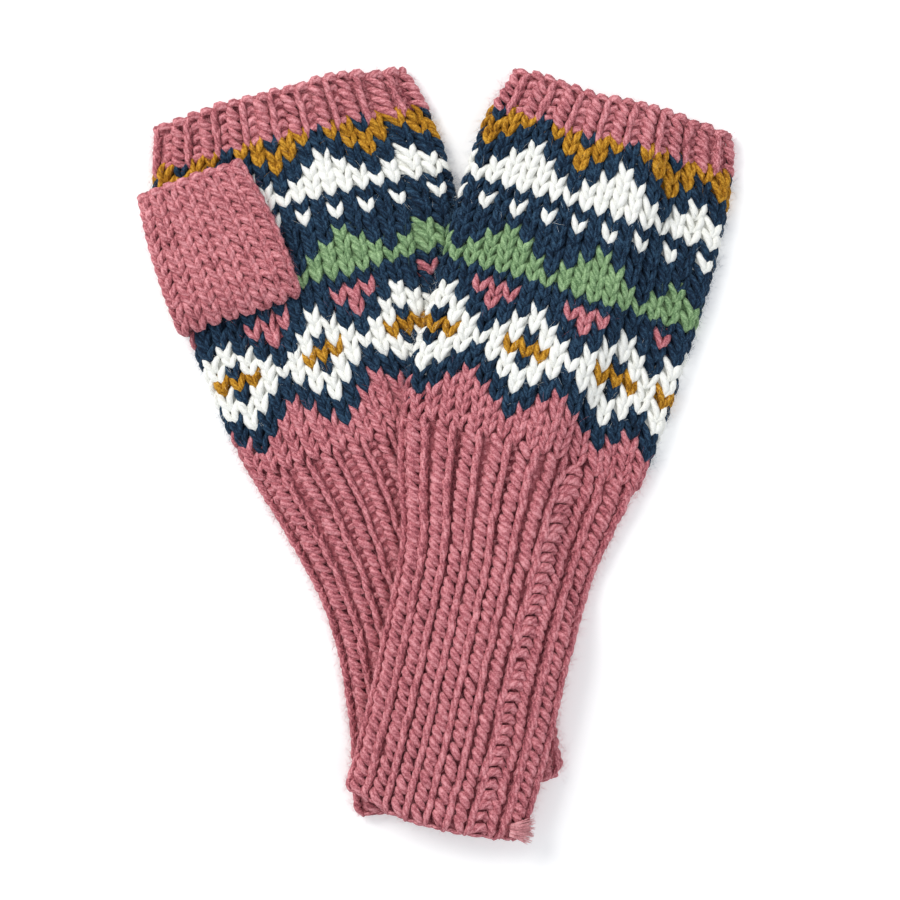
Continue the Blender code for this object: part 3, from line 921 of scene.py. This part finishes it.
for side, tube in TUBES:
    length = tube["down"][-1]
    pitch = (length - CAST_ON_DEPTH - BAND - HAND) / CUFF_ROWS
    column, row, foot = stitch_grid(tube, BAND + HAND, CUFF_ROWS, pitch)
    from_first = column - tube["first"]
    unribbed = row < PLAIN_ROWS
    knit = ~unribbed & (from_first % 2 == 0)
    purl = ~unribbed & (from_first % 2 == 1)
    crowded = ~unribbed & (side == "right")
    knotted, lost, last = (crowded & (from_first == at) for at in (KNOTTED, LOST, LAST))
    rose = np.full(len(column), colour_of["rose"])
    leaf = Way(RIB_LEFT_LEG, RIB_WIDTH, RIB_FOLLOW, lean=tube["rib_lean"], thick=tube["leaf"])
    parts = []
    for chosen, way in (
        (unribbed, Way(KNIT_LEG, KNIT_WIDTH, 1.0)),
        (unribbed, Way(KNIT_LEG, KNIT_WIDTH, 1.0, mirror=-1)),
        (knit & ~lost & ~last, leaf._replace(lift=RIB_LIFT)),
        (last, leaf._replace(sink=LAST_SINK)),
        (knit, Way(RIB_RIGHT_LEG, RIB_WIDTH, RIB_FOLLOW, lift=RIB_LIFT, thick=tube["cord"])),
        (purl & ~knotted, Way(PURL_BUMP, RIB_WIDTH, 0.0, sink=tube["purl_sink"], lift=PURL_LIFT)),
        (knotted, Way(PURL_BUMP, RIB_WIDTH, KNOT_FOLLOW, sink=-KNOT_RISE, thick=KNOT_SIZE)),
        (lost, Way(SUNK_LEG, RIB_WIDTH, LOST_FOLLOW, sink=-LOST_RISE)),
    ):
        parts += lay_both(tube, column[chosen], foot[chosen], pitch, way, rose[chosen])
    parts += lay_edge(tube, length - CAST_ON_FOOT, CAST_ON_HEIGHT, CAST_ON, RIB_WIDTH, "rose")
    stitches = make_piece(f"{side}_cuff_stitches", join(parts))
    # The cloth behind the ribs is a darker rose: painted shade for the deep grooves.
    top, bottom = BAND + HAND + SEAM, length - CLOTH_SHORT
    groove = one_yarn("rose_painted_shade")
    shell = knit_shell(f"{side}_cuff_cloth", tube, top, bottom, CUFF_ROWS, groove)
    declare(f"{side}_cuff")

# The tail of the cast-on yarn, frayed where it was snipped, stands out at the right cuff's corner. Its
# strands are painted a lighter rose: painted light against the shade that they lie in.
TAIL_ROOT = np.array([27.4, -140.2, 17.0])
TAIL_HEADING = -0.16
TAIL_STRANDS = 130
TAIL_HALF_WIDTH = 2.1
TAIL_FAN = 0.13
TAIL_REACH = (5.5, 9.6)
TAIL_RISE = 0.8
TAIL_SAG = 5.5
STRAND_RADIUS = 0.32


def frayed_tail():
    """Strands that leave one root side by side, fan out at their own headings, and sag by a square law."""
    aside = chance.uniform(-TAIL_HALF_WIDTH, TAIL_HALF_WIDTH, TAIL_STRANDS)
    heading = TAIL_HEADING + TAIL_FAN * aside + chance.normal(0, 0.10, TAIL_STRANDS)
    height = chance.uniform(-1.0, 1.0, TAIL_STRANDS)
    share = np.linspace(0, 1, 5)
    reach = chance.uniform(*TAIL_REACH, TAIL_STRANDS)[:, None] * share
    bend = heading[:, None] + chance.normal(0, 0.12, (TAIL_STRANDS, 1)) * share
    x = TAIL_ROOT[0] - aside[:, None] * np.sin(TAIL_HEADING) + reach * np.cos(bend)
    y = TAIL_ROOT[1] + aside[:, None] * np.cos(TAIL_HEADING) + reach * np.sin(bend)
    z = TAIL_ROOT[2] + height[:, None] + TAIL_RISE * share - TAIL_SAG * share**2
    paths = np.stack([x, y, z], axis=-1)
    outward = np.broadcast_to([0.0, 0.0, 1.0], paths.shape)
    thick = STRAND_RADIUS * (1 - 0.8 * share**2) * np.ones((TAIL_STRANDS, 1))
    return sweep(paths, outward, thick, thick, 5, np.full(TAIL_STRANDS, colour_of["tail_rose_painted_light"]))


make_piece("right_yarn_tail", frayed_tail())

# ---- The ribbed top band ----
# Four rows of the same rib, stretched over the wider hand so that the purls
# show, and a cast-off edge of bumpy loops laid side by side.

BAND_ROWS = 4
CAST_OFF_DEPTH = 3.2
CAST_OFF_FOOT = 2.8
CAST_OFF_HEIGHT = 4.0
BAND_OVERLAP = 0.6
CAST_OFF = np.array([
    (-3.0, 0.05, -2.7, 0.62),
    (-2.2, 0.26, -1.35, 1.05),
    (-1.05, 0.42, -0.55, 1.28),
    (0.25, 0.42, -0.5, 1.32),
    (1.45, 0.24, -1.0, 1.2),
    (2.45, 0.0, -1.9, 0.92),
    (3.0, -0.2, -2.9, 0.6),
])

for side, tube in TUBES:
    pitch = (BAND + BAND_OVERLAP - CAST_OFF_DEPTH) / BAND_ROWS
    column, _, foot = stitch_grid(tube, CAST_OFF_DEPTH, BAND_ROWS, pitch)
    knit = (column - tube["first"]) % 2 == 0
    rose = np.full(len(column), colour_of["pale_rose"])
    parts = []
    for chosen, way in (
        (knit, Way(RIB_LEFT_LEG, RIB_WIDTH, 0.3, sink=0.2, thick=0.94)),
        (knit, Way(RIB_RIGHT_LEG, RIB_WIDTH, 0.35, sink=-0.1, thick=0.86)),
        (~knit, Way(PURL_BUMP, RIB_WIDTH, 0.45, sink=-0.8)),
    ):
        parts += lay_both(tube, column[chosen], foot[chosen], pitch, way, rose[chosen])
    parts += lay_edge(tube, CAST_OFF_FOOT, CAST_OFF_HEIGHT, CAST_OFF, KNIT_WIDTH, "pale_rose")
    stitches = make_piece(f"{side}_band_stitches", join(parts))
    top, bottom = BAND_OVERLAP, BAND - SEAM
    groove = one_yarn("pale_rose")
    shell = knit_shell(f"{side}_band_cloth", tube, top, bottom, BAND_ROWS, groove)
    declare(f"{side}_band")

# ---- The thumbs ----
# A plain tube of 16 stitches, picked up round a slit in the palm. The left one
# is turned up over the palm; the right one is folded away beneath its hand.

THUMB_STITCHES = 16
THUMB_ROWS = 12
THUMB_LEAN = -0.42
THUMB_SPREAD = 1.08
THUMB_PLUMP = 1.10
THUMB_EDGE = 1.5
THUMB_SAMPLES = 160
SWING = 4.5
SWING_POWER = 0.75
LEFT_TIP = np.array([-92.2 - CENTRE[0], 102.6 - CENTRE[1]])
LEFT_TIP_WIDTH = 41.0
# Turned up, the left thumb sags a little to the left and down over the slit's lip.
LEFT_SAG = np.array([-2.3, -2.8])
LEFT_SPREAD = 1.6
left_foot, left_foot_width = thumb_foot(LEFT, LEFT_SLOT)


def left_fall(x, y):
    """How far the palm's face has rounded down towards the left fold, below its flat top."""
    downs = np.linspace(BAND + 8 * ROW, BAND + 18 * ROW, 60)
    fold_x, fold_y = lay_out(LEFT, downs, -width_at(LEFT, downs) / 2)
    nearest = np.abs(fold_y - y[..., None]).argmin(axis=-1)
    radius = LAID / 2
    inward = np.clip((x - fold_x[nearest]) * np.cos(np.radians(20)), 0.8, radius)
    return radius - np.sqrt(radius**2 - (radius - inward) ** 2)


# foot, tip: plan ends of the back edge's middle. widths, tilts: at foot and tip.
# floor: height of the face it lies on. side: 1 above that face, -1 beneath it.
# height: of the tube. falls: how far the face below it has rounded down.
# flat: how deep the ring is where it lies on the slit. belly: how far the middle
# is wider. droop: how far the foot's left end hangs down over the palm.
LEFT_THUMB = dict(
    foot=left_foot + LEFT_SAG,
    tip=LEFT_TIP,
    widths=(left_foot_width + LEFT_SPREAD, LEFT_TIP_WIDTH),
    tilts=(17.0, 20.0),
    floor=LAID,
    side=1,
    height=LAID,
    falls=left_fall,
    flat=8.0,
    belly=3.2,
    droop=2.4,
)
RIGHT_THUMB = dict(
    foot=right_foot,
    tip=right_tip,
    widths=(right_foot_width, right_tip_width),
    tilts=(RIGHT_TILT, RIGHT_TILT),
    floor=LIFT,
    side=-1,
    height=LIFT - PALM_GAP,
    falls=lambda x, y: 0 * x,
    flat=SLOT_DOWN[1] - SLOT_DOWN[0] + 2 * WALL,
    belly=0.0,
    droop=0.0,
)


def reach_of(thumb):
    """A thumb's length from foot to tip in plan."""
    return np.hypot(*(thumb["tip"] - thumb["foot"]))


def on_thumb(thumb, up, turn, out):
    """A point on a thumb tube, `up` mm from its foot along its back edge and `out` from its face.

    The ring at the foot lies flat on the slit. It swings upright over the
    first SWING mm and then slides along the thumb.
    """
    swing = np.clip(up / SWING, 0, 1)
    angle = np.radians(90) * swing**SWING_POWER
    share = up / reach_of(thumb)
    width = thumb["widths"][0] + (thumb["widths"][1] - thumb["widths"][0]) * share
    width = width + thumb["belly"] * np.sin(np.pi * np.clip(share, 0, 1))
    tilt = np.radians(thumb["tilts"][0] + (thumb["tilts"][1] - thumb["tilts"][0]) * share)
    depth = thumb["height"] + (thumb["flat"] - thumb["height"]) * np.cos(angle) ** 4
    x, r = racetrack(width + 2 * out, depth + 2 * out, turn)
    r = r - out
    px = thumb["foot"][0] + (thumb["tip"][0] - thumb["foot"][0]) * share
    py = thumb["foot"][1] + (thumb["tip"][1] - thumb["foot"][1]) * share
    back = r * np.cos(angle)
    px = px + x * np.cos(tilt) + back * np.sin(tilt)
    py = py + x * np.sin(tilt) - back * np.cos(tilt)
    py = py - thumb["droop"] * np.clip(-2 * x / width, 0, 1) ** 3 * np.exp(-((3 * share) ** 2))
    pz = thumb["floor"] + thumb["side"] * (PALM_GAP + r * np.sin(angle))
    pz = pz - thumb["falls"](px, py) * np.cos(angle) ** 4
    return np.stack([px, py, pz], axis=-1)


def thumb_up(thumb, along, turn):
    """The `up` that gives a length along the thumb's front face, so that rows keep their height there.

    Round the sides it is blended, by a sine, into the shorter way up the back.
    """
    reach = reach_of(thumb)
    ups = np.linspace(0, reach, THUMB_SAMPLES)
    front = on_thumb(thumb, ups, np.full(THUMB_SAMPLES, 0.25), np.zeros(THUMB_SAMPLES))
    walked = np.concatenate([[0], np.cumsum(np.linalg.norm(np.diff(front, axis=0), axis=-1))])
    on_front = np.interp(along, walked, ups)
    on_front = np.where(along > walked[-1], reach + along - walked[-1], on_front)
    on_back = along * reach / walked[-1]
    share = np.clip(0.5 + 0.5 * np.sin(2 * np.pi * turn), 0, 1)
    return on_back + (on_front - on_back) * share, walked[-1]


def thumb_stitches(name, thumb, sides):
    """Sweeps a thumb's knit legs and cast-off loops, with its rows evenly spaced along the front."""
    _, full = thumb_up(thumb, np.zeros(1), np.zeros(1))
    pitch = (full - THUMB_EDGE) / THUMB_ROWS
    column, row = np.meshgrid(np.arange(THUMB_STITCHES), np.arange(THUMB_ROWS), indexing="ij")
    column, row = column.ravel(), row.ravel()
    edge = np.arange(THUMB_STITCHES)
    batches = []
    for leg, mirror, column, row in (
        (KNIT_LEG, 1, column, row),
        (KNIT_LEG, -1, column, row),
        (CAST_OFF, 1, edge, 0 * edge + THUMB_ROWS - 0.1),
    ):
        spread, place, height = chance.normal(0, 1, (3, len(column), 1))
        x = (mirror * leg[:, 0] * THUMB_SPREAD + THUMB_LEAN * leg[:, 1]) / KNIT_WIDTH
        x = x * (1 + 0.04 * spread) + 0.02 * place
        turn = (column[:, None] + 0.5 + x) / THUMB_STITCHES
        along = np.clip((row[:, None] + leg[:, 1] + 0.04 * height) * pitch, -0.6, full + 1.0)
        up, _ = thumb_up(thumb, along, turn)
        out = leg[:, 2] + 0 * up - 0.6 * np.clip(-3 * np.sin(2 * np.pi * turn), 0, 1)
        paths, outward = with_outward(functools.partial(on_thumb, thumb), up, turn, out)
        thick = leg[:, 3] * (THUMB_PLUMP + 0.06 * place)
        colours = np.full(len(column), colour_of["pale_rose"])
        batches.append(sweep(paths, outward, YARN_WIDE * thick, YARN_DEEP * thick, sides, colours))
    return make_piece(name, join(batches))


def thumb_shell(name, thumb):
    """The cloth behind a thumb's stitches: rings close together where they swing, then even ones."""
    ups = np.concatenate([np.linspace(0, SWING, 8), np.linspace(6, reach_of(thumb) - 0.8, 12)])
    up, turn = np.meshgrid(ups, np.arange(40) / 40, indexing="ij")
    skins = [on_thumb(thumb, up, turn, np.full(up.shape, depth)) for depth in SKIN_DEPTHS]
    # A thumb's rings run the other way than a hand's, and a thumb beneath its face back again.
    quads = nested_quads(*up.shape)[:, [0, 3, 2, 1]]
    if thumb["side"] < 0:
        quads = quads[:, ::-1]
    return make_shell(name, skins, quads, np.full(len(quads), colour_of["pale_rose"]))


for side, thumb, sides in (("left", LEFT_THUMB, FINE_SIDES), ("right", RIGHT_THUMB, COARSE_SIDES)):
    stitches = thumb_stitches(f"{side}_thumb_stitches", thumb, sides)
    shell = thumb_shell(f"{side}_thumb_cloth", thumb)
    declare(f"{side}_thumb")

# ---- The halo of loose fibres ----
# Soft wool sheds fine fibres that lie over the stitches and stand out round
# every fold. Each takes the colour of the stitch that it comes from, but navy
# ones take a lighter navy: painted light on thin fibres.

FIBRE_RADIUS = 0.028
FUZZ_ON_TUBE = 12000
FUZZ_ON_THUMB = 1600
TUBE_FIBRE = 3.6
THUMB_FIBRE = 3.4
# Near a fold every fibre shows and stands up, and elsewhere a share of them lies flatter.
NEAR_FOLD = 0.022
SHARE_AWAY = 0.36
STAND_NEAR, STAND_AWAY, STAND_THUMB = 26.0, 6.0, 12.0


def fibres(start, along, outward, lengths, rise, bend, colours):
    """Thin closed spindles: two points and two rings of three, on a bent line that climbs from the cloth.

    start, along, outward (n, 3): where it leaves the cloth, how it lies, and out of the cloth.
    """
    n = len(start)
    share = np.array([0.0, 0.35, 0.7, 1.0])
    aside = np.cross(outward, along)
    climb = np.sin(rise)[:, None] * share + 0.15 * share**2
    onward = share[:, None] * np.cos(rise)[:, None, None] * along[:, None]
    upward = climb[..., None] * outward[:, None]
    sideways = (bend[:, None] * share**2)[..., None] * aside[:, None]
    path = start[:, None] + lengths[:, None, None] * (onward + upward + sideways)
    angle = np.arange(3) * 2 * np.pi / 3
    ring = FIBRE_RADIUS * (
        np.cos(angle)[:, None] * aside[:, None] + np.sin(angle)[:, None] * outward[:, None]
    )
    points = np.concatenate([path[:, :1], path[:, 1:2] + ring, path[:, 2:3] + ring, path[:, 3:]], axis=1)
    first = (np.arange(n) * 8)[:, None, None]
    i = np.arange(3)
    j = (i + 1) % 3
    near_tips = np.stack([0 * i, 1 + j, 1 + i], axis=-1)
    far_tips = np.stack([7 + 0 * i, 4 + i, 4 + j], axis=-1)
    sides = np.stack([1 + i, 1 + j, 4 + j, 4 + i], axis=-1)
    tips = (first + np.concatenate([near_tips, far_tips])).reshape(-1, 3)
    sides = (first + sides).reshape(-1, 4)
    seed = chance.uniform(0, 90, n)
    spot = np.stack([0 * seed + 0.5, seed], axis=-1)
    tip_uv = np.repeat(spot, 18, axis=0).reshape(-1, 3, 2)
    side_uv = np.repeat(spot, 12, axis=0).reshape(-1, 4, 2)
    return points.reshape(-1, 3), [
        (tips, tip_uv, np.repeat(colours, 6)),
        (sides, side_uv, np.repeat(colours, 3)),
    ]


def loose_ends(surface, down, turn, base, colours, reach, stand):
    """Fibres from places on surface(down, turn, out), whose differences give the ways along it."""
    n = len(down)
    start, outward = with_outward(surface, down, turn, base)
    lengthwise = unit(surface(down + 0.3, turn, base) - start)
    crosswise = np.cross(outward, lengthwise)
    heading = chance.uniform(0, 2 * np.pi, n)[:, None]
    along = np.cos(heading) * lengthwise + np.sin(heading) * crosswise
    lengths = reach * np.clip(chance.gamma(4.0, 0.25, n), 0.2, 1.7)
    rise = np.radians(np.clip(chance.normal(stand, 12, n), -4, stand + 20))
    return fibres(start, along, outward, lengths, rise, chance.normal(0, 0.12, n), colours)


for side, tube in TUBES:
    length = tube["down"][-1]
    column = chance.uniform(0, STITCHES, 6 * FUZZ_ON_TUBE) + tube["first"]
    down = chance.uniform(0.5, length - 0.5, 6 * FUZZ_ON_TUBE)
    turn = np.mod(column_turn(tube, down, column), 1.0)
    from_fold = np.minimum(np.abs(turn - 0.5), np.minimum(turn, 1 - turn))
    likely = np.where(from_fold < NEAR_FOLD, 1.0, SHARE_AWAY)
    keep = ((turn < 0.5) | (from_fold < NEAR_FOLD)) & (chance.uniform(0, 1, len(turn)) < likely)
    column, down, turn, from_fold = (a[keep][:FUZZ_ON_TUBE] for a in (column, down, turn, from_fold))
    strays = chance.normal(0, 0.2, (2, len(down)))
    source = np.floor(column + strays[0]).astype(int)
    row = np.floor((down - BAND) / ROW + strays[1]).astype(int)
    in_hand = (row >= 0) & (row < len(CHART))
    colours = np.where(in_hand, chart_colour(tube, source, row), colour_of["rose"])
    # Navy fibres are painted a lighter navy, as painted light on thin lit fibres.
    colours = np.where(colours == colour_of["navy"], colour_of["navy_painted_light"], colours)
    surface = functools.partial(on_tube, tube)
    base = chance.uniform(-0.2, 0.6, len(down))
    stand = np.where(from_fold < NEAR_FOLD, STAND_NEAR, STAND_AWAY)
    batch = loose_ends(surface, down, turn, base, colours, TUBE_FIBRE, stand)
    make_piece(f"{side}_fibres", batch)


def left_thumb_surface(along, turn, out):
    return on_thumb(LEFT_THUMB, thumb_up(LEFT_THUMB, along, turn)[0], turn, out)


turn = chance.uniform(-0.03, 0.53, FUZZ_ON_THUMB)
along = chance.uniform(2, THUMB_LENGTH - 1, FUZZ_ON_THUMB)
base = chance.uniform(-0.6, 0.5, FUZZ_ON_THUMB)
colours = np.full(FUZZ_ON_THUMB, colour_of["pale_rose"])
batch = loose_ends(left_thumb_surface, along, turn, base, colours, THUMB_FIBRE, STAND_THUMB)
make_piece("left_thumb_fibres", batch)
